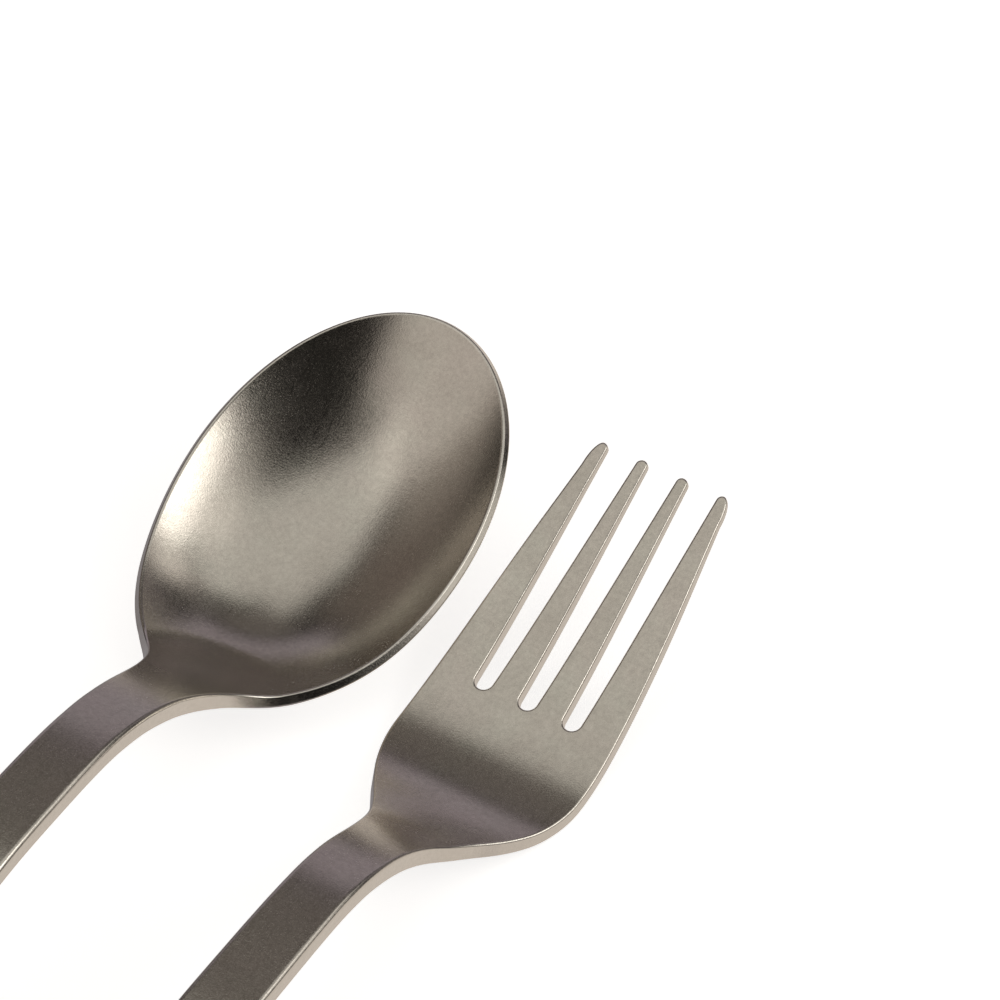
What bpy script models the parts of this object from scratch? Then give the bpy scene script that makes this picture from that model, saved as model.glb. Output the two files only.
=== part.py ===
"""Picnic cutlery on a table: a spoon and a four-tine fork, lying side by side.

Each one is a single piece of bar, cut flat to its outline, rounded along its edges and then pressed.
The code works in that order: an outline, a flat blank of it, and the press that bends the blank.
Lengths are in millimetres until a mesh is made, which is in metres. +Z is up and +Y runs along the
cutlery towards the bowl and the tines. In each piece's own coordinates y = 0 is at the neck.
The origin is on the table, under the middle of the pair.
"""

import math

import bmesh
import bpy
import numpy as np

MM = 0.001

# Where each piece lies: the place of its neck's centre on the table.
SPOON_AT = (-15.0, 32.3)
FORK_AT = (22.8, 27.3)

# Handle, shared by both: half its width at the end, the corners of its end, the level stretch that
# rests on the table, and where the handle starts to come down to it.
HANDLE_HALF_END = 5.8
HANDLE_CORNER = 3.6
HANDLE_FOOT = 13.0
HANDLE_DROPS_FROM = -38.0

# Spoon: ends, bowl and neck. The rim climbs towards the tip from BOWL_RIM_START.
SPOON_END = -131.0
SPOON_TIP = 65.6
BOWL_CENTRE = 35.6
BOWL_HALF_WIDTH = 21.4
BOWL_BACK = 32.8
BOWL_DEPTH = 8.7
BOWL_FULLNESS = 2.2
BOWL_RIM_HEIGHT = 7.55
BOWL_RIM_START = 19.4
BOWL_RIM_SLOPE = 0.335
BOWL_RIM_EASE = 7.3
BOWL_BLEND = 1.6
BOWL_WALL_ENDS = 1.08
BOWL_MEETS_NECK = 8.0
BOWL_BEGINS = -10.0
SPOON_NECK_HALF = ((-20.0, 4.5), (-10.0, 4.65), (-5.0, 4.95), (-1.0, 5.75), (3.0, 7.4))
SPOON_SLOPES = (
    (SPOON_END, 0.0),
    (SPOON_END + HANDLE_FOOT, 0.0),
    (-100.0, 15.0),
    (-80.0, 20.0),
    (-60.0, 14.0),
    (-42.0, 0.0),
    (-30.0, -2.8),
    (-24.0, -6.8),
    (-20.0, -11.6),
    (-16.0, -17.6),
    (-12.0, -24.4),
    (-8.0, -29.6),
    (-4.0, -34.0),
    (3.0, -36.0),
    (SPOON_TIP, -36.0),
)
SPOON_NECK_HEIGHT = 12.4
SPOON_THICKNESS = (
    (SPOON_END, 2.6),
    (SPOON_END + HANDLE_FOOT, 2.6),
    (-20.0, 3.4),
    (-8.0, 3.0),
    (2.0, 2.2),
    (8.0, 1.7),
    (16.0, 1.5),
    (SPOON_TIP, 1.4),
)

# Fork: ends, head, slots and tines.
FORK_END = -126.0
FORK_TIP = 66.7
FORK_HALF = (
    (-20.0, 4.5),
    (-8.0, 4.5),
    (-3.0, 4.8),
    (1.0, 5.7),
    (5.0, 7.5),
    (10.0, 10.6),
    (14.0, 12.7),
    (18.0, 13.95),
    (22.0, 14.35),
    (26.0, 14.28),
    (34.0, 13.8),
    (48.0, 12.58),
    (63.0, 10.85),
)
FORK_SLOPES = (
    (FORK_END, 0.0),
    (FORK_END + HANDLE_FOOT, 0.0),
    (-96.0, 12.0),
    (-78.0, 17.0),
    (-58.0, 12.0),
    (-42.0, 0.5),
    (-30.0, -0.9),
    (-20.0, -6.0),
    (-14.0, -15.6),
    (-10.0, -23.8),
    (-4.0, -32.0),
    (1.0, -36.0),
    (4.5, -28.5),
    (8.0, -24.0),
    (11.0, -18.5),
    (13.5, -12.0),
    (16.0, -5.0),
    (20.0, 0.0),
    (24.0, 7.5),
    (28.0, 14.0),
    (34.0, 19.0),
    (42.0, 22.0),
    (FORK_TIP, 22.5),
)
FORK_NECK_HEIGHT = 9.25
FORK_THICKNESS = (
    (FORK_END, 2.6),
    (FORK_END + HANDLE_FOOT, 2.6),
    (-20.0, 3.4),
    (-8.0, 3.0),
    (1.0, 2.4),
    (18.0, 2.15),
    (40.0, 2.2),
    (FORK_TIP, 1.4),
)
SLOT_ROOT = 30.6
SLOT_ROOT_HALF = 1.33
SLOT_TIP_HALF = 2.32
SLOT_ROOT_OFFSET = 6.97
SLOT_TIP_OFFSET = 6.36
TINE_CORNER = 0.8
OUTER_TINE_CURVE = 3.7

# Rounding of the edges: the radius on the handle, on the head, and where one turns into the other.
HANDLE_EDGE = 0.8
HEAD_EDGE = 0.35
EDGE_CHANGE = (-14.0, 0.0)
EDGE_STEPS = 2

# Tumbled steel: a dull, slightly warm grey.
STEEL_COLOR = (0.42, 0.40, 0.37, 1.0)
STEEL_ROUGHNESS = 0.38

# Fineness of the solids.
ARC_STEPS = 10
BOWL_STEPS = 44
HEAD_PITCH = 2.0
HANDLE_PITCH = 4.0
BOWL_PITCH = 3.0
OUTLINE_PITCH = 1.5
SNAP = 0.05
SLOPE_PITCH = 0.25
TANGENT_STEP = 0.01


def clear_scene():
    for obj in list(bpy.data.objects):
        bpy.data.objects.remove(obj)


def curve_through(stations, y):
    """A smooth curve through (y, value) stations, level with their own slopes and flat past the ends."""
    at = np.array([station[0] for station in stations])
    value = np.array([station[1] for station in stations])
    secant = np.diff(value) / np.diff(at)
    tangent = np.concatenate([secant[:1], (secant[:-1] + secant[1:]) / 2, secant[-1:]])
    turns = secant[:-1] * secant[1:] <= 0
    tangent[1:-1][turns] = 0.0
    y = np.clip(y, at[0], at[-1])
    i = np.clip(np.searchsorted(at, y, side="right") - 1, 0, len(at) - 2)
    span = at[i + 1] - at[i]
    t = (y - at[i]) / span
    start = (2 * t**3 - 3 * t**2 + 1) * value[i] + (t**3 - 2 * t**2 + t) * span * tangent[i]
    end = (3 * t**2 - 2 * t**3) * value[i + 1] + (t**3 - t**2) * span * tangent[i + 1]
    return start + end


class Spine:
    """The height of a piece's top face along its middle, integrated from slopes in degrees.

    It passes through neck_height at y = 0. Past HANDLE_DROPS_FROM the handle comes down smoothly, so
    that its foot is level and the foot's underside lies on the table.
    """

    def __init__(self, slopes, neck_height, end_thickness):
        self.y = np.arange(slopes[0][0], slopes[-1][0] + SLOPE_PITCH, SLOPE_PITCH)
        rise = np.tan(np.radians(curve_through(slopes, self.y)))
        steps = (rise[1:] + rise[:-1]) / 2 * SLOPE_PITCH
        height = np.concatenate([[0.0], np.cumsum(steps)])
        height += neck_height - np.interp(0.0, self.y, height)
        foot = slopes[0][0] + HANDLE_FOOT
        reach = np.clip((HANDLE_DROPS_FROM - self.y) / (HANDLE_DROPS_FROM - foot), 0.0, 1.0)
        self.height = height + (end_thickness - height[0]) * reach**2 * (3 - 2 * reach)

    def at(self, y):
        return np.interp(y, self.y, self.height)


SPOON_SPINE = Spine(SPOON_SLOPES, SPOON_NECK_HEIGHT, SPOON_THICKNESS[0][1])
FORK_SPINE = Spine(FORK_SLOPES, FORK_NECK_HEIGHT, FORK_THICKNESS[0][1])


def bowl_surface(x, y):
    """The bowl's hollow: a rim that climbs towards the tip, and a floor BOWL_DEPTH below it."""
    past = y - BOWL_RIM_START
    rim = BOWL_RIM_HEIGHT + BOWL_RIM_SLOPE / 2 * (past + np.hypot(past, BOWL_RIM_EASE))
    length = np.where(y > BOWL_CENTRE, SPOON_TIP - BOWL_CENTRE, BOWL_BACK)
    reach = np.minimum(np.hypot(x / BOWL_HALF_WIDTH, (y - BOWL_CENTRE) / length), BOWL_WALL_ENDS)
    return rim - BOWL_DEPTH * (1 - reach**BOWL_FULLNESS)


def spoon_height(x, y):
    """The spoon's top face: the neck runs down into the bowl, and the higher of the two is the metal."""
    neck = SPOON_SPINE.at(y)
    bowl = np.where(y > BOWL_BEGINS, bowl_surface(x, y), -np.inf)
    near = np.clip(BOWL_BLEND - np.abs(neck - bowl), 0.0, None)
    return np.maximum(neck, bowl) + near**2 / (4 * BOWL_BLEND)


def fork_height(_x, y):
    """The fork's top face, which is level from side to side."""
    return FORK_SPINE.at(y)


def edge_radius(y):
    share = np.clip((y - EDGE_CHANGE[0]) / (EDGE_CHANGE[1] - EDGE_CHANGE[0]), 0.0, 1.0)
    return HANDLE_EDGE + (HEAD_EDGE - HANDLE_EDGE) * share


def arc(centre, radii, start, end, steps):
    """Points on an ellipse's arc, from angle start to angle end in degrees, both ends included."""
    turn = np.radians(np.linspace(start, end, steps + 1))
    x = centre[0] + radii[0] * np.cos(turn)
    y = centre[1] + radii[1] * np.sin(turn)
    return list(zip(x, y))


def handle_end(end):
    """The right half of the handle's round-cornered end, from the middle outwards."""
    corner = (HANDLE_HALF_END - HANDLE_CORNER, end + HANDLE_CORNER)
    return arc(corner, (HANDLE_CORNER, HANDLE_CORNER), -90, 0, ARC_STEPS)


def side(stations, first, last, pitch):
    """Points up a right-hand side whose half width runs through the stations."""
    count = max(1, round((last - first) / pitch))
    at = np.linspace(first, last, count + 1)
    return list(zip(curve_through(stations, at), at))


def mirrored(right):
    """A closed outline from its right half, which starts and ends on the middle line or beside it."""
    left = [(-x, y) for x, y in reversed(right) if x > SNAP]
    return right + left


def spoon_outline():
    back = math.degrees(math.acos((BOWL_CENTRE - BOWL_MEETS_NECK) / BOWL_BACK))
    meet = BOWL_HALF_WIDTH * math.sin(math.radians(back))
    stations = SPOON_NECK_HALF + ((BOWL_MEETS_NECK, meet),)
    neck = side(stations, SPOON_NECK_HALF[0][0], BOWL_MEETS_NECK, OUTLINE_PITCH)
    centre = (0.0, BOWL_CENTRE)
    rear = arc(centre, (BOWL_HALF_WIDTH, BOWL_BACK), back - 90, 0, BOWL_STEPS // 2)
    front = arc(centre, (BOWL_HALF_WIDTH, SPOON_TIP - BOWL_CENTRE), 0, 90, BOWL_STEPS // 2)
    return mirrored(handle_end(SPOON_END) + neck + rear[1:] + front[1:])


def slot_edge(side_of_slot, offset_root, offset_tip):
    """One edge of a slot, as its x at the root and at the tip: -1 is the edge nearer the middle."""
    return (offset_root + side_of_slot * SLOT_ROOT_HALF, offset_tip + side_of_slot * SLOT_TIP_HALF)


def tine_tip(outer, inner, outer_curve):
    """A tine's end from its outer edge to its inner edge, with a longer curve on the outer side."""
    middle = inner + TINE_CORNER
    far = arc((middle, FORK_TIP - outer_curve), (outer - middle, outer_curve), 0, 90, ARC_STEPS)
    near = arc((middle, FORK_TIP - TINE_CORNER), (TINE_CORNER, TINE_CORNER), 90, 180, ARC_STEPS // 2)
    return far + near[1:]


def slot_root(offset, start, end):
    return arc((offset, SLOT_ROOT + SLOT_ROOT_HALF), (SLOT_ROOT_HALF, SLOT_ROOT_HALF), start, end, ARC_STEPS)


def fork_outline():
    head = side(FORK_HALF, FORK_HALF[0][0], FORK_HALF[-1][0], OUTLINE_PITCH)
    side_slot_far = slot_edge(1, SLOT_ROOT_OFFSET, SLOT_TIP_OFFSET)
    side_slot_near = slot_edge(-1, SLOT_ROOT_OFFSET, SLOT_TIP_OFFSET)
    middle_slot = slot_edge(1, 0.0, 0.0)
    outer_tine = tine_tip(FORK_HALF[-1][1], side_slot_far[1], OUTER_TINE_CURVE)
    inner_tine = tine_tip(side_slot_near[1], middle_slot[1], TINE_CORNER)
    side_root = slot_root(SLOT_ROOT_OFFSET, 0, -180)
    middle_root = slot_root(0.0, 0, -90)
    right = handle_end(FORK_END) + head + outer_tine[1:] + side_root + inner_tine + middle_root
    return mirrored(right)


def ring_of(outline, inset):
    """The outline moved inwards by inset at each point, square to it."""
    points = np.array(outline)
    along = np.roll(points, -1, axis=0) - np.roll(points, 1, axis=0)
    along /= np.hypot(along[:, 0], along[:, 1])[:, None]
    inwards = np.stack([-along[:, 1], along[:, 0]], axis=1)
    return points + inwards * inset[:, None]


def blank(outline, thickness):
    """The flat piece, with rounded edges. Its z runs from 0 on the top face to -1 on the underside."""
    y = np.array([point[1] for point in outline])
    radius = edge_radius(y)
    thick = curve_through(thickness, y)
    mesh = bmesh.new()
    rings = []
    angles = np.radians(np.linspace(90, 0, EDGE_STEPS + 1))
    for angle in angles:
        ring = ring_of(outline, radius * (1 - math.cos(angle)))
        depth = radius * (1 - math.sin(angle)) / thick
        rings.append([mesh.verts.new((x, y, -d)) for (x, y), d in zip(ring, depth)])
    for angle in reversed(angles):
        ring = ring_of(outline, radius * (1 - math.cos(angle)))
        depth = 1 - radius * (1 - math.sin(angle)) / thick
        rings.append([mesh.verts.new((x, y, -d)) for (x, y), d in zip(ring, depth)])
    count = len(outline)
    for upper, lower in zip(rings, rings[1:]):
        for i in range(count):
            j = (i + 1) % count
            mesh.faces.new((upper[i], lower[i], lower[j], upper[j]))
    mesh.faces.new(rings[0])
    mesh.faces.new(list(reversed(rings[-1])))
    mesh.normal_update()
    return mesh


def cut_across(mesh, places, normal, beyond=-math.inf):
    """Cuts every face past beyond along y at each place along the normal, so that it can bend there."""
    for place in places:
        faces = [face for face in mesh.faces if face.calc_center_bounds().y > beyond]
        edges = {edge for face in faces for edge in face.edges}
        verts = {vert for face in faces for vert in face.verts}
        geometry = list(verts) + list(edges) + faces
        point = [place * axis for axis in normal]
        bmesh.ops.bisect_plane(mesh, geom=geometry, dist=SNAP, plane_co=point, plane_no=normal)


def press(mesh, height, thickness, place):
    """Bends the blank to its surface: each point goes below the top face, square to it."""
    flat = np.array([vert.co for vert in mesh.verts])
    x, y, depth = flat.T
    top = height(x, y)
    slope_x = (height(x + TANGENT_STEP, y) - height(x - TANGENT_STEP, y)) / (2 * TANGENT_STEP)
    slope_y = (height(x, y + TANGENT_STEP) - height(x, y - TANGENT_STEP)) / (2 * TANGENT_STEP)
    square = np.stack([-slope_x, -slope_y, np.ones_like(x)], axis=1)
    square /= np.linalg.norm(square, axis=1)[:, None]
    points = np.stack([x, y, top], axis=1) + square * (depth * curve_through(thickness, y))[:, None]
    points[:, 0] += place[0]
    points[:, 1] += place[1]
    for vert, point in zip(mesh.verts, points):
        vert.co = point * MM


def steel(name):
    """Tumbled steel: a dull, slightly warm grey metal."""
    material = bpy.data.materials.new(name)
    material.use_nodes = True
    shader = material.node_tree.nodes["Principled BSDF"]
    shader.inputs["Base Color"].default_value = STEEL_COLOR
    shader.inputs["Metallic"].default_value = 1.0
    shader.inputs["Roughness"].default_value = STEEL_ROUGHNESS
    return material


def finish(name, mesh, material):
    data = bpy.data.meshes.new(name)
    mesh.to_mesh(data)
    mesh.free()
    data.shade_smooth()
    data.materials.append(material)
    obj = bpy.data.objects.new(name, data)
    bpy.context.scene.collection.objects.link(obj)
    return obj


def make_spoon():
    mesh = blank(spoon_outline(), SPOON_THICKNESS)
    along_handle = np.arange(SPOON_END + HANDLE_PITCH, SPOON_NECK_HALF[0][0], HANDLE_PITCH)
    along_bowl = np.arange(SPOON_NECK_HALF[0][0], SPOON_TIP, HEAD_PITCH)
    across = np.arange(-BOWL_HALF_WIDTH, BOWL_HALF_WIDTH, BOWL_PITCH) + BOWL_PITCH / 2
    cut_across(mesh, along_handle, (0, 1, 0))
    cut_across(mesh, along_bowl, (0, 1, 0))
    cut_across(mesh, across, (1, 0, 0), BOWL_BEGINS)
    press(mesh, spoon_height, SPOON_THICKNESS, SPOON_AT)
    return finish("spoon", mesh, steel("spoon_steel"))


def make_fork():
    mesh = blank(fork_outline(), FORK_THICKNESS)
    along_handle = np.arange(FORK_END + HANDLE_PITCH, FORK_HALF[0][0], HANDLE_PITCH)
    along_head = np.arange(FORK_HALF[0][0], FORK_TIP, HEAD_PITCH)
    cut_across(mesh, along_handle, (0, 1, 0))
    cut_across(mesh, along_head, (0, 1, 0))
    press(mesh, fork_height, FORK_THICKNESS, FORK_AT)
    return finish("fork", mesh, steel("fork_steel"))


clear_scene()
make_spoon()
make_fork()
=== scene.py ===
"""Picnic cutlery: a tumbled steel spoon and fork on a white table, in soft studio light.

The fine pieces are made the way part.py makes the solids that they stand for: a closed outline, a flat
blank with rounded edges, and the press that bends it. Shape lengths are in millimetres, and a mesh is
made in metres. In each piece's own coordinates y = 0 is at the neck and +Y runs to the bowl or tines.
"""

import math

import bpy
import numpy as np
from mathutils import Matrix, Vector
from mathutils.geometry import delaunay_2d_cdt


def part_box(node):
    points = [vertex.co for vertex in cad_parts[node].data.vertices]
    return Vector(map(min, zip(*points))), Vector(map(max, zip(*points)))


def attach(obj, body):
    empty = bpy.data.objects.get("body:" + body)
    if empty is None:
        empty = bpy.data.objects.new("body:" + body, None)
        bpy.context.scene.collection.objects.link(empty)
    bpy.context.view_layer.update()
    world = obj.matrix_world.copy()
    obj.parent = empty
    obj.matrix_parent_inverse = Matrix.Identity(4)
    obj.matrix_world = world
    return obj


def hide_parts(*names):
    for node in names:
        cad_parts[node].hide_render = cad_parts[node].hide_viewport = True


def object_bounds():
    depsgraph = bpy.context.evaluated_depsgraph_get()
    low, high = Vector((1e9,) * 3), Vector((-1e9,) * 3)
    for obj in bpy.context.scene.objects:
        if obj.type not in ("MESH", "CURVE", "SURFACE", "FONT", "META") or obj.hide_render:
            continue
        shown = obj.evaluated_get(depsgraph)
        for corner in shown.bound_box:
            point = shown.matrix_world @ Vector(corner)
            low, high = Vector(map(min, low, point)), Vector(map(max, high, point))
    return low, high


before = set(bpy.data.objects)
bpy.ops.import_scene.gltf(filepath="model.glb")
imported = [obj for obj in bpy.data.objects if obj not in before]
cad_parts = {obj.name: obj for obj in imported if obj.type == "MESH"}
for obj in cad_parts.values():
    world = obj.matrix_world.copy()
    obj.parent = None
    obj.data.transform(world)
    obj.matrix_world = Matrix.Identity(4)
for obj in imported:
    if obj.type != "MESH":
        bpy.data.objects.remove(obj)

CAD_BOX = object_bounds()
MM = 0.001

# Handle, shared by both.
HANDLE_HALF_END = 5.8
HANDLE_CORNER = 3.6
HANDLE_FOOT = 13.0
HANDLE_DROPS_FROM = -38.0

# Spoon.
SPOON_END = -131.0
SPOON_TIP = 65.6
BOWL_CENTRE = 35.6
BOWL_HALF_WIDTH = 21.4
BOWL_BACK = 32.8
BOWL_DEPTH = 8.7
BOWL_FULLNESS = 2.2
BOWL_RIM_HEIGHT = 7.55
BOWL_RIM_START = 19.4
BOWL_RIM_SLOPE = 0.335
BOWL_RIM_EASE = 7.3
BOWL_BLEND = 1.6
BOWL_WALL_ENDS = 1.08
BOWL_MEETS_NECK = 8.0
BOWL_BEGINS = -10.0
SPOON_NECK_HALF = ((-20.0, 4.5), (-10.0, 4.65), (-5.0, 4.95), (-1.0, 5.75), (3.0, 7.4))
SPOON_SLOPES = (
    (SPOON_END, 0.0),
    (SPOON_END + HANDLE_FOOT, 0.0),
    (-100.0, 15.0),
    (-80.0, 20.0),
    (-60.0, 14.0),
    (-42.0, 0.0),
    (-30.0, -2.8),
    (-24.0, -6.8),
    (-20.0, -11.6),
    (-16.0, -17.6),
    (-12.0, -24.4),
    (-8.0, -29.6),
    (-4.0, -34.0),
    (3.0, -36.0),
    (SPOON_TIP, -36.0),
)
SPOON_NECK_HEIGHT = 12.4
SPOON_THICKNESS = (
    (SPOON_END, 2.6),
    (SPOON_END + HANDLE_FOOT, 2.6),
    (-20.0, 3.4),
    (-8.0, 3.0),
    (2.0, 2.2),
    (8.0, 1.7),
    (16.0, 1.5),
    (SPOON_TIP, 1.4),
)

# Fork.
FORK_END = -126.0
FORK_TIP = 66.7
FORK_HALF = (
    (-20.0, 4.5),
    (-8.0, 4.5),
    (-3.0, 4.8),
    (1.0, 5.7),
    (5.0, 7.5),
    (10.0, 10.6),
    (14.0, 12.7),
    (18.0, 13.95),
    (22.0, 14.35),
    (26.0, 14.28),
    (34.0, 13.8),
    (48.0, 12.58),
    (63.0, 10.85),
)
FORK_SLOPES = (
    (FORK_END, 0.0),
    (FORK_END + HANDLE_FOOT, 0.0),
    (-96.0, 12.0),
    (-78.0, 17.0),
    (-58.0, 12.0),
    (-42.0, 0.5),
    (-30.0, -0.9),
    (-20.0, -6.0),
    (-14.0, -15.6),
    (-10.0, -23.8),
    (-4.0, -32.0),
    (1.0, -36.0),
    (4.5, -28.5),
    (8.0, -24.0),
    (11.0, -18.5),
    (13.5, -12.0),
    (16.0, -5.0),
    (20.0, 0.0),
    (24.0, 7.5),
    (28.0, 14.0),
    (34.0, 19.0),
    (42.0, 22.0),
    (FORK_TIP, 22.5),
)
FORK_NECK_HEIGHT = 9.25
FORK_THICKNESS = (
    (FORK_END, 2.6),
    (FORK_END + HANDLE_FOOT, 2.6),
    (-20.0, 3.4),
    (-8.0, 3.0),
    (1.0, 2.4),
    (18.0, 2.15),
    (40.0, 2.2),
    (FORK_TIP, 1.4),
)
SLOT_ROOT = 30.6
SLOT_ROOT_HALF = 1.33
SLOT_TIP_HALF = 2.32
SLOT_ROOT_OFFSET = 6.97
SLOT_TIP_OFFSET = 6.36
TINE_CORNER = 0.8
OUTER_TINE_CURVE = 3.7

# Rounding of the edges.
HANDLE_EDGE = 0.8
HEAD_EDGE = 0.35
EDGE_CHANGE = (-14.0, 0.0)
EDGE_STEPS = 5

# Fineness of the meshes.
ARC_STEPS = 20
BOWL_QUARTER_STEPS = 45
OUTLINE_PITCH = 0.75
CAP_PITCH = 0.9
CLEARANCE = 0.45
SLOPE_PITCH = 0.25
TANGENT_STEP = 0.01
SNAP = 0.05
INSIDE_ONLY = 1
SAME_POINT = 1e-6

# Tumbled steel: colours, roughness, and the size and depth of what its surface shows, in metres.
STEEL_PINK = (0.655, 0.605, 0.55, 1.0)
STEEL_GREEN = (0.635, 0.62, 0.55, 1.0)
STEEL_DARK = (0.585, 0.545, 0.49, 1.0)
# The edge colour is a painted sheen: the rounded edges get a lighter colour than the rest, besides their
# real polish.
STEEL_EDGE_SHEEN = (0.78, 0.76, 0.72, 1.0)
STEEL_ROUGHNESS = (0.25, 0.19)
SPECKLE = (0.84, 1.16)
GRAIN_ROUGHNESS = 0.05
GRAIN_SCALE = 4200.0
GRAIN_RELIEF = 0.000006
PIT_SCALE = 1500.0
PIT_RELIEF = 0.0000008
SMEAR_SCALE = 240.0
SMEAR_RELIEF = 0.0000015
CLOUD_SCALE = 75.0
CLOUD_SHARE = 0.55
HUE_SCALE = 110.0
NOISE_RANGE = (0.3, 0.7)
NOISE_DETAIL = 3.0
NOISE_ROUGHNESS = 0.55
SCRATCH_SCALE = (2400.0, 110.0, 600.0)
SCRATCH_ANGLES = (17.0, 74.0, 133.0)
SCRATCH_SHARE = 0.8
SCRATCH_SHINE = 0.05
SCRATCH_RELIEF = 0.0000015
# How far the rounded edges go towards the lighter painted-sheen colour.
EDGE_POLISH_AND_SHEEN = 0.6
EDGE_SHINE = 0.05

# Studio: its axes are the camera's right, away from the camera, and up, from the point looked at.
VIEW_AZIMUTH = 32.05
VIEW_ELEVATION = 47.0
VIEW_DISTANCE = 0.9
LOOK_FROM_CENTRE = (-0.00208, 0.09177)
LENS = 233.1
SENSOR = 36.0

# Softboxes: name, azimuth from the right towards away and its half width, lowest and highest
# elevation, softness of the edges, all in degrees, and radiance. table_right is below the horizon: it is
# the part of the table that the lamps light most.
SOFTBOXES = (
    ("key", -14.0, 21.0, 30.0, 46.0, 7.0, (3.0, 2.9, 2.75)),
    ("key_low", -10.0, 22.0, 10.0, 26.0, 6.0, (0.70, 0.66, 0.60)),
    ("key_side", 21.0, 10.0, 29.0, 47.0, 7.0, (0.90, 0.85, 0.79)),
    ("right_high", -22.0, 24.0, 48.0, 64.0, 8.0, (0.45, 0.43, 0.40)),
    ("left", 202.0, 36.0, 8.0, 58.0, 8.0, (0.60, 0.56, 0.52)),
    ("far_left", 158.0, 10.0, 14.0, 46.0, 8.0, (0.24, 0.21, 0.185)),
    ("far_corner", 134.0, 14.0, 12.0, 50.0, 8.0, (0.14, 0.115, 0.10)),
    ("far_right", 38.0, 14.0, 4.0, 26.0, 8.0, (0.16, 0.14, 0.145)),
    ("far_right_high", 44.0, 14.0, 36.0, 54.0, 6.0, (0.12, 0.11, 0.105)),
    ("far_wall", 85.0, 30.0, -2.0, 36.0, 4.0, (0.30, 0.265, 0.295)),
    ("far_high", 84.0, 22.0, 40.0, 58.0, 4.0, (0.13, 0.115, 0.105)),
    ("table_right", 22.0, 68.0, -85.0, -4.0, 8.0, (0.42, 0.37, 0.30)),
    ("near_fill", 262.0, 26.0, 0.0, 18.0, 8.0, (0.16, 0.15, 0.14)),
)
HALF_TURN = 180.0

# Overhead softboxes: name, from and to on the right, from and to away, as shares of their height over
# the table, and radiance.
OVERHEADS = (
    ("overhead", -0.75, 0.80, -0.25, 0.27, (0.62, 0.60, 0.56)),
    ("overhead_far", -0.62, 0.70, 0.27, 0.48, (0.62, 0.60, 0.56)),
    ("overhead_corner", -0.30, -0.05, 0.48, 0.64, (0.62, 0.60, 0.56)),
)
OVERHEAD_SOFT = 0.08
LOWEST_CEILING = 0.1
ROOM = (0.012, 0.011, 0.010, 1.0)
TABLE = (0.28, 0.262, 0.272, 1.0)
TABLE_BELOW = (-100.0, -5.0, 8.0)
BACKDROP = (1.0, 1.0, 1.0, 1.0)
OPAQUE = 1.0

# The table.
FLOOR_HALF = 12.0
FLOOR_COLOUR = (0.86, 0.86, 0.86, 1.0)
FLOOR_ROUGHNESS = 0.9
FLOOR_GLOW = 0.86


def hermite(share, span, values, slopes):
    """At a share of a span, the cubic that has the given values and slopes at the span's two ends."""
    start = (2 * share**3 - 3 * share**2 + 1) * values[0]
    start += (share**3 - 2 * share**2 + share) * span * slopes[0]
    end = (3 * share**2 - 2 * share**3) * values[1] + (share**3 - share**2) * span * slopes[1]
    return start + end


def curve_through(stations, y):
    """A smooth curve through (y, value) stations, level where they turn back and flat past the ends."""
    at = np.array([station[0] for station in stations])
    value = np.array([station[1] for station in stations])
    secant = np.diff(value) / np.diff(at)
    tangent = np.concatenate([secant[:1], (secant[:-1] + secant[1:]) / 2, secant[-1:]])
    turns = secant[:-1] * secant[1:] <= 0
    tangent[1:-1][turns] = 0.0
    y = np.clip(y, at[0], at[-1])
    i = np.clip(np.searchsorted(at, y, side="right") - 1, 0, len(at) - 2)
    span = at[i + 1] - at[i]
    return hermite((y - at[i]) / span, span, (value[i], value[i + 1]), (tangent[i], tangent[i + 1]))


class Spine:
    """The height of a piece's top face along its middle, integrated from slopes in degrees."""

    def __init__(self, slopes, neck_height, end_thickness):
        self.y = np.arange(slopes[0][0], slopes[-1][0] + SLOPE_PITCH, SLOPE_PITCH)
        rise = np.tan(np.radians(curve_through(slopes, self.y)))
        steps = (rise[1:] + rise[:-1]) / 2 * SLOPE_PITCH
        height = np.concatenate([[0.0], np.cumsum(steps)])
        height += neck_height - np.interp(0.0, self.y, height)
        foot = slopes[0][0] + HANDLE_FOOT
        reach = np.clip((HANDLE_DROPS_FROM - self.y) / (HANDLE_DROPS_FROM - foot), 0.0, 1.0)
        self.height = height + (end_thickness - height[0]) * reach**2 * (3 - 2 * reach)
        self.slope = np.gradient(self.height, SLOPE_PITCH)

    def at(self, y):
        """The height between two samples, as the curve that keeps both samples' slopes."""
        i = np.clip(np.searchsorted(self.y, y, side="right") - 1, 0, len(self.y) - 2)
        share = np.clip((y - self.y[i]) / SLOPE_PITCH, 0.0, 1.0)
        heights = (self.height[i], self.height[i + 1])
        return hermite(share, SLOPE_PITCH, heights, (self.slope[i], self.slope[i + 1]))


SPOON_SPINE = Spine(SPOON_SLOPES, SPOON_NECK_HEIGHT, SPOON_THICKNESS[0][1])
FORK_SPINE = Spine(FORK_SLOPES, FORK_NECK_HEIGHT, FORK_THICKNESS[0][1])


def bowl_surface(x, y):
    """The bowl's hollow: a rim that climbs towards the tip, and a floor BOWL_DEPTH below it."""
    past = y - BOWL_RIM_START
    rim = BOWL_RIM_HEIGHT + BOWL_RIM_SLOPE / 2 * (past + np.hypot(past, BOWL_RIM_EASE))
    length = np.where(y > BOWL_CENTRE, SPOON_TIP - BOWL_CENTRE, BOWL_BACK)
    reach = np.minimum(np.hypot(x / BOWL_HALF_WIDTH, (y - BOWL_CENTRE) / length), BOWL_WALL_ENDS)
    return rim - BOWL_DEPTH * (1 - reach**BOWL_FULLNESS)


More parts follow.
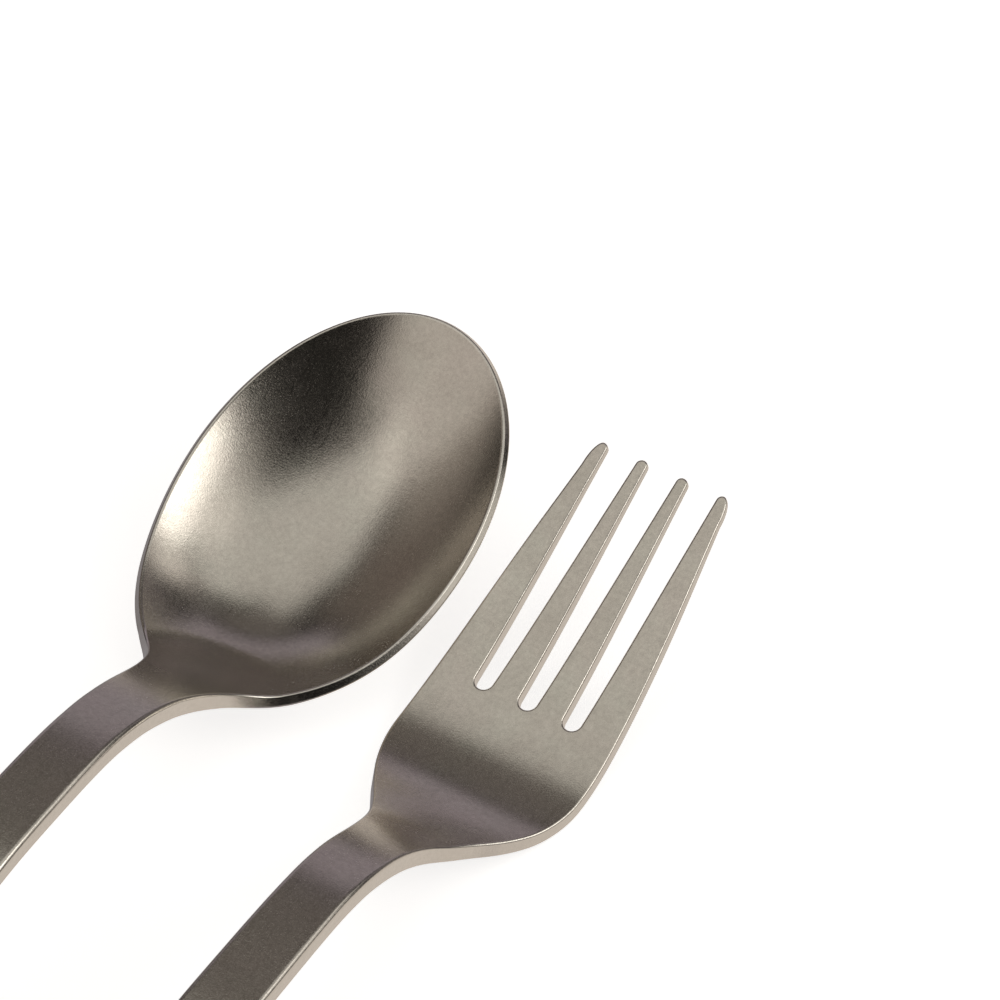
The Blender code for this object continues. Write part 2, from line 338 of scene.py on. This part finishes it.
def spoon_height(x, y):
    """The spoon's top face: the neck runs down into the bowl, and the higher of the two is the metal."""
    neck = SPOON_SPINE.at(y)
    bowl = np.where(y > BOWL_BEGINS, bowl_surface(x, y), -np.inf)
    near = np.clip(BOWL_BLEND - np.abs(neck - bowl), 0.0, None)
    return np.maximum(neck, bowl) + near**2 / (4 * BOWL_BLEND)


def fork_height(_x, y):
    """The fork's top face, which is level from side to side."""
    return FORK_SPINE.at(y)


def edge_radius(y):
    """How round the edges are: soft along the handle, and crisper on the bowl and the fork's head."""
    share = np.clip((y - EDGE_CHANGE[0]) / (EDGE_CHANGE[1] - EDGE_CHANGE[0]), 0.0, 1.0)
    return HANDLE_EDGE + (HEAD_EDGE - HANDLE_EDGE) * share


def arc(centre, radii, start, end, steps):
    """Points on an ellipse's arc, from angle start to angle end in degrees, both ends included."""
    turn = np.radians(np.linspace(start, end, steps + 1))
    x = centre[0] + radii[0] * np.cos(turn)
    y = centre[1] + radii[1] * np.sin(turn)
    return list(zip(x, y))


def straight(first, last):
    """Points every OUTLINE_PITCH on the line between two points, both ends left out."""
    count = max(1, round(math.dist(first, last) / OUTLINE_PITCH))
    share = np.arange(1, count) / count
    x = first[0] + (last[0] - first[0]) * share
    y = first[1] + (last[1] - first[1]) * share
    return list(zip(x, y))


def handle_side(end, neck):
    """The right half of the handle: its round-cornered end, then its straight side up to the neck."""
    corner = (HANDLE_HALF_END - HANDLE_CORNER, end + HANDLE_CORNER)
    turn = arc(corner, (HANDLE_CORNER, HANDLE_CORNER), -90, 0, ARC_STEPS)
    return straight((0.0, end), turn[0]) + turn + straight(turn[-1], neck)


def side(stations, first, last):
    """Points up a right-hand side whose half width runs through the stations."""
    count = max(1, round((last - first) / OUTLINE_PITCH))
    at = np.linspace(first, last, count + 1)
    return list(zip(curve_through(stations, at), at))


def mirrored(right):
    """A closed outline from its right half, which starts and ends on the middle line or beside it."""
    left = [(-x, y) for x, y in reversed(right) if x > SNAP]
    return right + left


def spoon_outline():
    back = math.degrees(math.acos((BOWL_CENTRE - BOWL_MEETS_NECK) / BOWL_BACK))
    meet = BOWL_HALF_WIDTH * math.sin(math.radians(back))
    stations = SPOON_NECK_HALF + ((BOWL_MEETS_NECK, meet),)
    neck = side(stations, SPOON_NECK_HALF[0][0], BOWL_MEETS_NECK)
    handle = handle_side(SPOON_END, neck[0])
    centre = (0.0, BOWL_CENTRE)
    rear = arc(centre, (BOWL_HALF_WIDTH, BOWL_BACK), back - 90, 0, BOWL_QUARTER_STEPS)
    front = arc(centre, (BOWL_HALF_WIDTH, SPOON_TIP - BOWL_CENTRE), 0, 90, BOWL_QUARTER_STEPS)
    return mirrored([(0.0, SPOON_END)] + handle + neck + rear[1:] + front[1:])


def slot_edge(side_of_slot, offset_root, offset_tip):
    """One edge of a slot, as its x at the root and at the tip: -1 is the edge nearer the middle."""
    return (offset_root + side_of_slot * SLOT_ROOT_HALF, offset_tip + side_of_slot * SLOT_TIP_HALF)


def tine_tip(outer, inner, outer_curve):
    """A tine's end from its outer edge to its inner edge, with a longer curve on the outer side."""
    middle = inner + TINE_CORNER
    far = arc((middle, FORK_TIP - outer_curve), (outer - middle, outer_curve), 0, 90, ARC_STEPS)
    near = arc((middle, FORK_TIP - TINE_CORNER), (TINE_CORNER, TINE_CORNER), 90, 180, ARC_STEPS // 2)
    return far + near[1:]


def slot_root(offset, start, end):
    """The round closed end of a slot, as an arc between two angles in degrees."""
    return arc((offset, SLOT_ROOT + SLOT_ROOT_HALF), (SLOT_ROOT_HALF, SLOT_ROOT_HALF), start, end, ARC_STEPS)


def joined(*runs):
    """The runs of points end to end, with points every OUTLINE_PITCH on the lines between them."""
    points = list(runs[0])
    for run in runs[1:]:
        points += straight(points[-1], run[0]) + list(run)
    return points


def fork_outline():
    head = side(FORK_HALF, FORK_HALF[0][0], FORK_HALF[-1][0])
    handle = handle_side(FORK_END, head[0])
    side_slot_far = slot_edge(1, SLOT_ROOT_OFFSET, SLOT_TIP_OFFSET)
    side_slot_near = slot_edge(-1, SLOT_ROOT_OFFSET, SLOT_TIP_OFFSET)
    middle_slot = slot_edge(1, 0.0, 0.0)
    outer_tine = tine_tip(FORK_HALF[-1][1], side_slot_far[1], OUTER_TINE_CURVE)
    inner_tine = tine_tip(side_slot_near[1], middle_slot[1], TINE_CORNER)
    side_root = slot_root(SLOT_ROOT_OFFSET, 0, -180)
    middle_root = slot_root(0.0, 0, -90)
    head_side = [(0.0, FORK_END)] + handle + head
    return mirrored(joined(head_side, outer_tine[1:], side_root, inner_tine, middle_root))


def outward_of(outline):
    """At each point of an outline, the unit vector square to it that points out."""
    along = np.roll(outline, -1, axis=0) - np.roll(outline, 1, axis=0)
    along /= np.hypot(along[:, 0], along[:, 1])[:, None]
    return np.stack([along[:, 1], -along[:, 0]], axis=1)


def inner_points(ring):
    """Points on an even grid inside a closed ring, none nearer to it than CLEARANCE."""
    low, high = ring.min(axis=0), ring.max(axis=0)
    rows = np.arange(low[1] + CAP_PITCH, high[1], CAP_PITCH)
    found = []
    start, end = ring, np.roll(ring, -1, axis=0)
    for y in rows:
        over = (start[:, 1] > y) != (end[:, 1] > y)
        share = (y - start[over, 1]) / (end[over, 1] - start[over, 1])
        crossings = np.sort(start[over, 0] + share * (end[over, 0] - start[over, 0]))
        for left, right in zip(crossings[::2], crossings[1::2]):
            count = int((right - left) / CAP_PITCH)
            xs = np.linspace(left, right, count + 2)[1:-1]
            found += [(x, y) for x in xs]
    points = np.array(found)
    gap = np.hypot(*(points[:, None, :] - ring[None, :, :]).transpose(2, 0, 1)).min(axis=1)
    return points[gap > CLEARANCE]


def cap_triangles(ring, inner):
    """Triangles over the ring and the points inside it, facing up, as indices into both in that order."""
    points = [Vector(point) for point in np.concatenate([ring, inner])]
    made = delaunay_2d_cdt(points, [], [list(range(len(ring)))], INSIDE_ONLY, SAME_POINT)
    source = [origins[0] for origins in made[3]]
    return [tuple(source[i] for i in face) for face in made[2]]


class Blank:
    """The flat piece with rounded edges: its points, their depth from 0 on top to 1 below, and their
    normals before it is pressed. edge is 1 on the rounding and 0 on the faces."""

    def __init__(self, outline, thickness):
        outline = np.array(outline)
        outward = outward_of(outline)
        radius = edge_radius(outline[:, 1])
        thick = curve_through(thickness, outline[:, 1])
        turn = np.radians(np.linspace(90, 0, EDGE_STEPS + 1))
        self.count = len(outline)
        self.points, self.depth, self.normals, self.edge = [], [], [], []
        for up, angles in ((1, turn), (-1, turn[::-1])):
            for angle in angles:
                drop = radius * (1 - math.sin(angle)) / thick
                ring = outline - outward * (radius * (1 - math.cos(angle)))[:, None]
                face = np.full((self.count, 1), up * math.sin(angle))
                normals = np.concatenate([outward * math.cos(angle), face], axis=1)
                self.add(ring, drop if up > 0 else 1 - drop, normals, math.cos(angle))
        inner = inner_points(self.points[0])
        for up, depth in ((1, 0.0), (-1, 1.0)):
            self.add(inner, np.full(len(inner), depth), np.tile((0.0, 0.0, up), (len(inner), 1)), 0.0)
        self.faces = self.side_faces() + self.cap_faces(inner)
        self.points = np.concatenate(self.points)
        self.depth = np.concatenate(self.depth)
        self.normals = np.concatenate(self.normals)
        self.edge = np.concatenate(self.edge)

    def add(self, points, depth, normals, edge):
        self.points.append(points)
        self.depth.append(depth)
        self.normals.append(normals)
        self.edge.append(np.full(len(points), edge))

    def side_faces(self):
        """The four-sided faces between each ring and the next one down."""
        here = np.arange(self.count)
        then = np.roll(here, -1)
        faces = []
        for ring in range(2 * EDGE_STEPS + 1):
            upper = ring * self.count
            lower = upper + self.count
            square = np.stack([upper + here, lower + here, lower + then, upper + then], axis=1)
            faces += [tuple(face) for face in square.tolist()]
        return faces

    def cap_faces(self, inner):
        """The top face's triangles, and the same ones turned over for the underside."""
        rings = 2 * (EDGE_STEPS + 1) * self.count
        last_ring = rings - self.count
        faces = []
        for a, b, c in cap_triangles(self.points[0], inner):
            top = [i if i < self.count else rings + i - self.count for i in (a, b, c)]
            under = [
                last_ring + i if i < self.count else rings + len(inner) + i - self.count
                for i in (c, b, a)
            ]
            faces += [tuple(top), tuple(under)]
        return faces


def slopes_of(height, x, y):
    """The slopes of a height along x and along y."""
    along_x = height(x + TANGENT_STEP, y) - height(x - TANGENT_STEP, y)
    along_y = height(x, y + TANGENT_STEP) - height(x, y - TANGENT_STEP)
    return along_x / (2 * TANGENT_STEP), along_y / (2 * TANGENT_STEP)


def pressed(blank, height, thickness):
    """The blank's points and normals after the press, in millimetres from the neck's centre."""
    x, y = blank.points.T
    slope_x, slope_y = slopes_of(height, x, y)
    stretch = 1 + slope_x**2 + slope_y**2
    square = np.stack([-slope_x, -slope_y, np.ones_like(x)], axis=1) / np.sqrt(stretch)[:, None]
    thick = curve_through(thickness, y)
    points = np.stack([x, y, height(x, y)], axis=1) - square * (blank.depth * thick)[:, None]
    across = np.stack([1 + slope_y**2, -slope_x * slope_y, slope_x], axis=1) / stretch[:, None]
    along = np.stack([-slope_x * slope_y, 1 + slope_x**2, slope_y], axis=1) / stretch[:, None]
    thins = curve_through(thickness, y + TANGENT_STEP) - curve_through(thickness, y - TANGENT_STEP)
    tilt = blank.depth * thins / (2 * TANGENT_STEP)
    normals = across * blank.normals[:, :1] + along * blank.normals[:, 1:2]
    normals += (square + along * tilt[:, None]) * blank.normals[:, 2:]
    return points, normals / np.linalg.norm(normals, axis=1)[:, None]


def make_piece(name, node, outline, height, thickness, end, material):
    """One utensil, laid where its CAD node is: same middle line, same handle end, same table."""
    blank = Blank(outline, thickness)
    points, normals = pressed(blank, height, thickness)
    low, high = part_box(node)
    place = np.array([(low.x + high.x) / 2, low.y - end * MM, 0.0])
    data = bpy.data.meshes.new(name)
    data.from_pydata((points * MM + place).tolist(), [], blank.faces)
    data.shade_smooth()
    data.normals_split_custom_set_from_vertices(normals.tolist())
    edge = data.attributes.new("edge", "FLOAT", "POINT")
    edge.data.foreach_set("value", blank.edge.astype(np.float32))
    data.materials.append(material)
    obj = bpy.data.objects.new(name, data)
    bpy.context.scene.collection.objects.link(obj)
    return obj


class Nodes:
    """A short way to add and join a material's or world's nodes."""

    def __init__(self, tree):
        self.tree = tree

    def add(self, kind, **settings):
        node = self.tree.nodes.new(kind)
        for key, value in settings.items():
            setattr(node, key, value)
        return node

    def put(self, value, socket):
        """Join a socket to another node's output, or give it a fixed value."""
        if isinstance(value, bpy.types.NodeSocket):
            self.tree.links.new(value, socket)
        else:
            socket.default_value = value

    def math(self, operation, *values):
        node = self.add("ShaderNodeMath", operation=operation)
        for socket, value in zip(node.inputs, values):
            self.put(value, socket)
        return node.outputs["Value"]

    def fit(self, value, low, high, to_low=0.0, to_high=1.0, curve="LINEAR"):
        """A value's range low..high spread over to_low..to_high, and held past both ends."""
        node = self.add("ShaderNodeMapRange", interpolation_type=curve)
        for socket, number in zip(node.inputs, (value, low, high, to_low, to_high)):
            self.put(number, socket)
        return node.outputs["Result"]

    def mix(self, share, a, b, blend="MIX"):
        node = self.add("ShaderNodeMix", data_type="RGBA", blend_type=blend)
        colours = [socket for socket in node.inputs if socket.type == "RGBA"]
        self.put(share, node.inputs[0])
        self.put(a, colours[0])
        self.put(b, colours[1])
        return next(socket for socket in node.outputs if socket.type == "RGBA")

    def noise(self, vector, scale):
        """Noise with its middle range spread over 0..1."""
        node = self.add("ShaderNodeTexNoise")
        self.put(vector, node.inputs["Vector"])
        self.put(scale, node.inputs["Scale"])
        self.put(NOISE_DETAIL, node.inputs["Detail"])
        self.put(NOISE_ROUGHNESS, node.inputs["Roughness"])
        return self.fit(node.outputs["Fac"], *NOISE_RANGE)

    def scratches(self, place, angle):
        """Fine straight marks that all run one way, square to which they are much finer."""
        node = self.add("ShaderNodeMapping")
        self.put(place, node.inputs["Vector"])
        self.put((0.0, 0.0, math.radians(angle)), node.inputs["Rotation"])
        self.put(SCRATCH_SCALE, node.inputs["Scale"])
        return self.fit(self.noise(node.outputs["Vector"], 1.0), SCRATCH_SHARE, 1.0)

    def bump(self, height, distance, below=None):
        node = self.add("ShaderNodeBump")
        self.put(distance, node.inputs["Distance"])
        self.put(height, node.inputs["Height"])
        if below is not None:
            self.put(below, node.inputs["Normal"])
        return node.outputs["Normal"]


def tumbled_steel(name):
    """Steel that was tumbled with stones: fine grain, pits, faint marks every way, and polished edges that
    also carry a painted sheen, a lighter colour on their rounding.
    """
    material = bpy.data.materials.new(name)
    material.use_nodes = True
    nodes = Nodes(material.node_tree)
    shader = material.node_tree.nodes["Principled BSDF"]
    nodes.put(1.0, shader.inputs["Metallic"])
    place = nodes.add("ShaderNodeTexCoord").outputs["Object"]
    edge = nodes.add("ShaderNodeAttribute", attribute_name="edge").outputs["Fac"]
    clouds = nodes.noise(place, CLOUD_SCALE)
    hues = nodes.noise(place, HUE_SCALE)
    smears = nodes.noise(place, SMEAR_SCALE)
    pits = nodes.noise(place, PIT_SCALE)
    grain = nodes.noise(place, GRAIN_SCALE)
    marks = nodes.scratches(place, SCRATCH_ANGLES[0])
    for angle in SCRATCH_ANGLES[1:]:
        marks = nodes.math("MAXIMUM", marks, nodes.scratches(place, angle))

    tone = nodes.math("MULTIPLY_ADD", clouds, CLOUD_SHARE, nodes.math("MULTIPLY", smears, 1 - CLOUD_SHARE))
    colour = nodes.mix(tone, STEEL_DARK, nodes.mix(hues, STEEL_PINK, STEEL_GREEN))
    speckle = nodes.fit(nodes.math("ADD", grain, pits), 0.0, 2.0, *SPECKLE)
    colour = nodes.mix(1.0, colour, speckle, "MULTIPLY")
    # Painted sheen: the rounded edges are mixed towards a lighter colour. Their real polish is in the
    # roughness below.
    colour = nodes.mix(nodes.math("MULTIPLY", edge, EDGE_POLISH_AND_SHEEN), colour, STEEL_EDGE_SHEEN)
    nodes.put(colour, shader.inputs["Base Color"])

    rough = nodes.fit(tone, 0.0, 1.0, *STEEL_ROUGHNESS)
    rough = nodes.math("ADD", rough, nodes.fit(grain, 0.0, 1.0, -GRAIN_ROUGHNESS, GRAIN_ROUGHNESS))
    rough = nodes.math("SUBTRACT", rough, nodes.math("MULTIPLY", marks, SCRATCH_SHINE))
    rough = nodes.math("SUBTRACT", rough, nodes.math("MULTIPLY", edge, EDGE_SHINE))
    nodes.put(rough, shader.inputs["Roughness"])

    relief = nodes.bump(smears, SMEAR_RELIEF)
    relief = nodes.bump(pits, PIT_RELIEF, relief)
    relief = nodes.bump(grain, GRAIN_RELIEF, relief)
    relief = nodes.bump(nodes.math("SUBTRACT", 1.0, marks), SCRATCH_RELIEF, relief)
    nodes.put(relief, shader.inputs["Normal"])
    return material


def studio_to_world(vector):
    """A direction or an offset in the studio's axes (right, away, up), in the frame's axes."""
    turn = math.radians(VIEW_AZIMUTH)
    right = Vector((math.cos(turn), math.sin(turn), 0.0))
    away = Vector((-math.sin(turn), math.cos(turn), 0.0))
    return right * vector[0] + away * vector[1] + Vector((0.0, 0.0, vector[2]))


def look_at_point():
    """The point on the table that the camera looks at, beside the middle of the CAD box."""
    low, high = CAD_BOX
    middle = (low + high) / 2
    return Vector((middle.x + LOOK_FROM_CENTRE[0], middle.y + LOOK_FROM_CENTRE[1], low.z))


def make_camera():
    tilt = math.radians(VIEW_ELEVATION)
    back = studio_to_world((0.0, -math.cos(tilt), math.sin(tilt)))
    data = bpy.data.cameras.new("camera")
    data.lens = LENS
    data.sensor_width = SENSOR
    camera = bpy.data.objects.new("camera", data)
    camera.location = look_at_point() + back * VIEW_DISTANCE
    camera.rotation_mode = "QUATERNION"
    camera.rotation_quaternion = (-back).to_track_quat("-Z", "Y")
    bpy.context.scene.collection.objects.link(camera)
    bpy.context.scene.camera = camera


def window(nodes, value, low, high, soft):
    """1 where a value lies between low and high, and 0 outside, with edges 2 * soft wide."""
    rise = nodes.fit(value, low - soft, low + soft, curve="SMOOTHSTEP")
    fall = nodes.fit(value, high - soft, high + soft, 1.0, 0.0, curve="SMOOTHSTEP")
    return nodes.math("MULTIPLY", rise, fall)


def make_world():
    """The studio that the steel reflects: a dim room, the softboxes, and the table's far part below."""
    world = bpy.data.worlds.new("studio")
    bpy.context.scene.world = world
    world.use_nodes = True
    nodes = Nodes(world.node_tree)
    turned = nodes.add("ShaderNodeVectorRotate", rotation_type="Z_AXIS")
    nodes.put(nodes.add("ShaderNodeTexCoord").outputs["Generated"], turned.inputs["Vector"])
    nodes.put(-math.radians(VIEW_AZIMUTH), turned.inputs["Angle"])
    split = nodes.add("ShaderNodeSeparateXYZ")
    nodes.put(turned.outputs["Vector"], split.inputs["Vector"])
    right, away, up = split.outputs
    azimuth = nodes.math("DEGREES", nodes.math("ARCTAN2", away, right))
    elevation = nodes.math("DEGREES", nodes.math("ARCSINE", up))
    room = nodes.mix(window(nodes, elevation, *TABLE_BELOW), ROOM, TABLE)
    for _name, middle, half, lowest, highest, soft, colour in SOFTBOXES:
        aside = nodes.math("WRAP", nodes.math("SUBTRACT", azimuth, middle), HALF_TURN, -HALF_TURN)
        across = window(nodes, aside, -half, half, soft)
        share = nodes.math("MULTIPLY", across, window(nodes, elevation, lowest, highest, soft))
        room = nodes.mix(share, room, (*colour, OPAQUE), "ADD")
    ceiling = nodes.math("MAXIMUM", up, LOWEST_CEILING)
    over_right = nodes.math("DIVIDE", right, ceiling)
    over_away = nodes.math("DIVIDE", away, ceiling)
    for _name, left_side, right_side, near_side, far_side, colour in OVERHEADS:
        across = window(nodes, over_right, left_side, right_side, OVERHEAD_SOFT)
        share = nodes.math("MULTIPLY", across, window(nodes, over_away, near_side, far_side, OVERHEAD_SOFT))
        share = nodes.math("MULTIPLY", share, nodes.fit(up, 0.0, LOWEST_CEILING))
        room = nodes.mix(share, room, (*colour, OPAQUE), "ADD")
    seen = nodes.add("ShaderNodeLightPath").outputs["Is Camera Ray"]
    nodes.put(nodes.mix(seen, room, BACKDROP), world.node_tree.nodes["Background"].inputs["Color"])


def make_floor():
    """A plain white table, lit evenly from within so that it stays white around the pieces. The steel
    doesn't mirror it: it mirrors the world's TABLE instead."""
    data = bpy.data.meshes.new("floor")
    corners = [(x * FLOOR_HALF, y * FLOOR_HALF, 0.0) for x, y in ((-1, -1), (1, -1), (1, 1), (-1, 1))]
    data.from_pydata(corners, [], [(0, 1, 2, 3)])
    material = bpy.data.materials.new("white_table")
    material.use_nodes = True
    shader = material.node_tree.nodes["Principled BSDF"]
    shader.inputs["Base Color"].default_value = FLOOR_COLOUR
    shader.inputs["Roughness"].default_value = FLOOR_ROUGHNESS
    shader.inputs["Emission Color"].default_value = FLOOR_COLOUR
    shader.inputs["Emission Strength"].default_value = FLOOR_GLOW
    data.materials.append(material)
    floor = bpy.data.objects.new("floor", data)
    floor.location.z = CAD_BOX[0].z
    floor.visible_glossy = False
    bpy.context.scene.collection.objects.link(floor)


make_camera()
spoon_steel = tumbled_steel("spoon_steel")
spoon = make_piece(
    "picnic_spoon", "spoon", spoon_outline(), spoon_height, SPOON_THICKNESS, SPOON_END, spoon_steel
)
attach(spoon, "spoon")
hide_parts("spoon")
fork_steel = tumbled_steel("fork_steel")
fork = make_piece("picnic_fork", "fork", fork_outline(), fork_height, FORK_THICKNESS, FORK_END, fork_steel)
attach(fork, "fork")
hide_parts("fork")
make_floor()
make_world()
bpy.context.scene.view_settings.view_transform = "Standard"
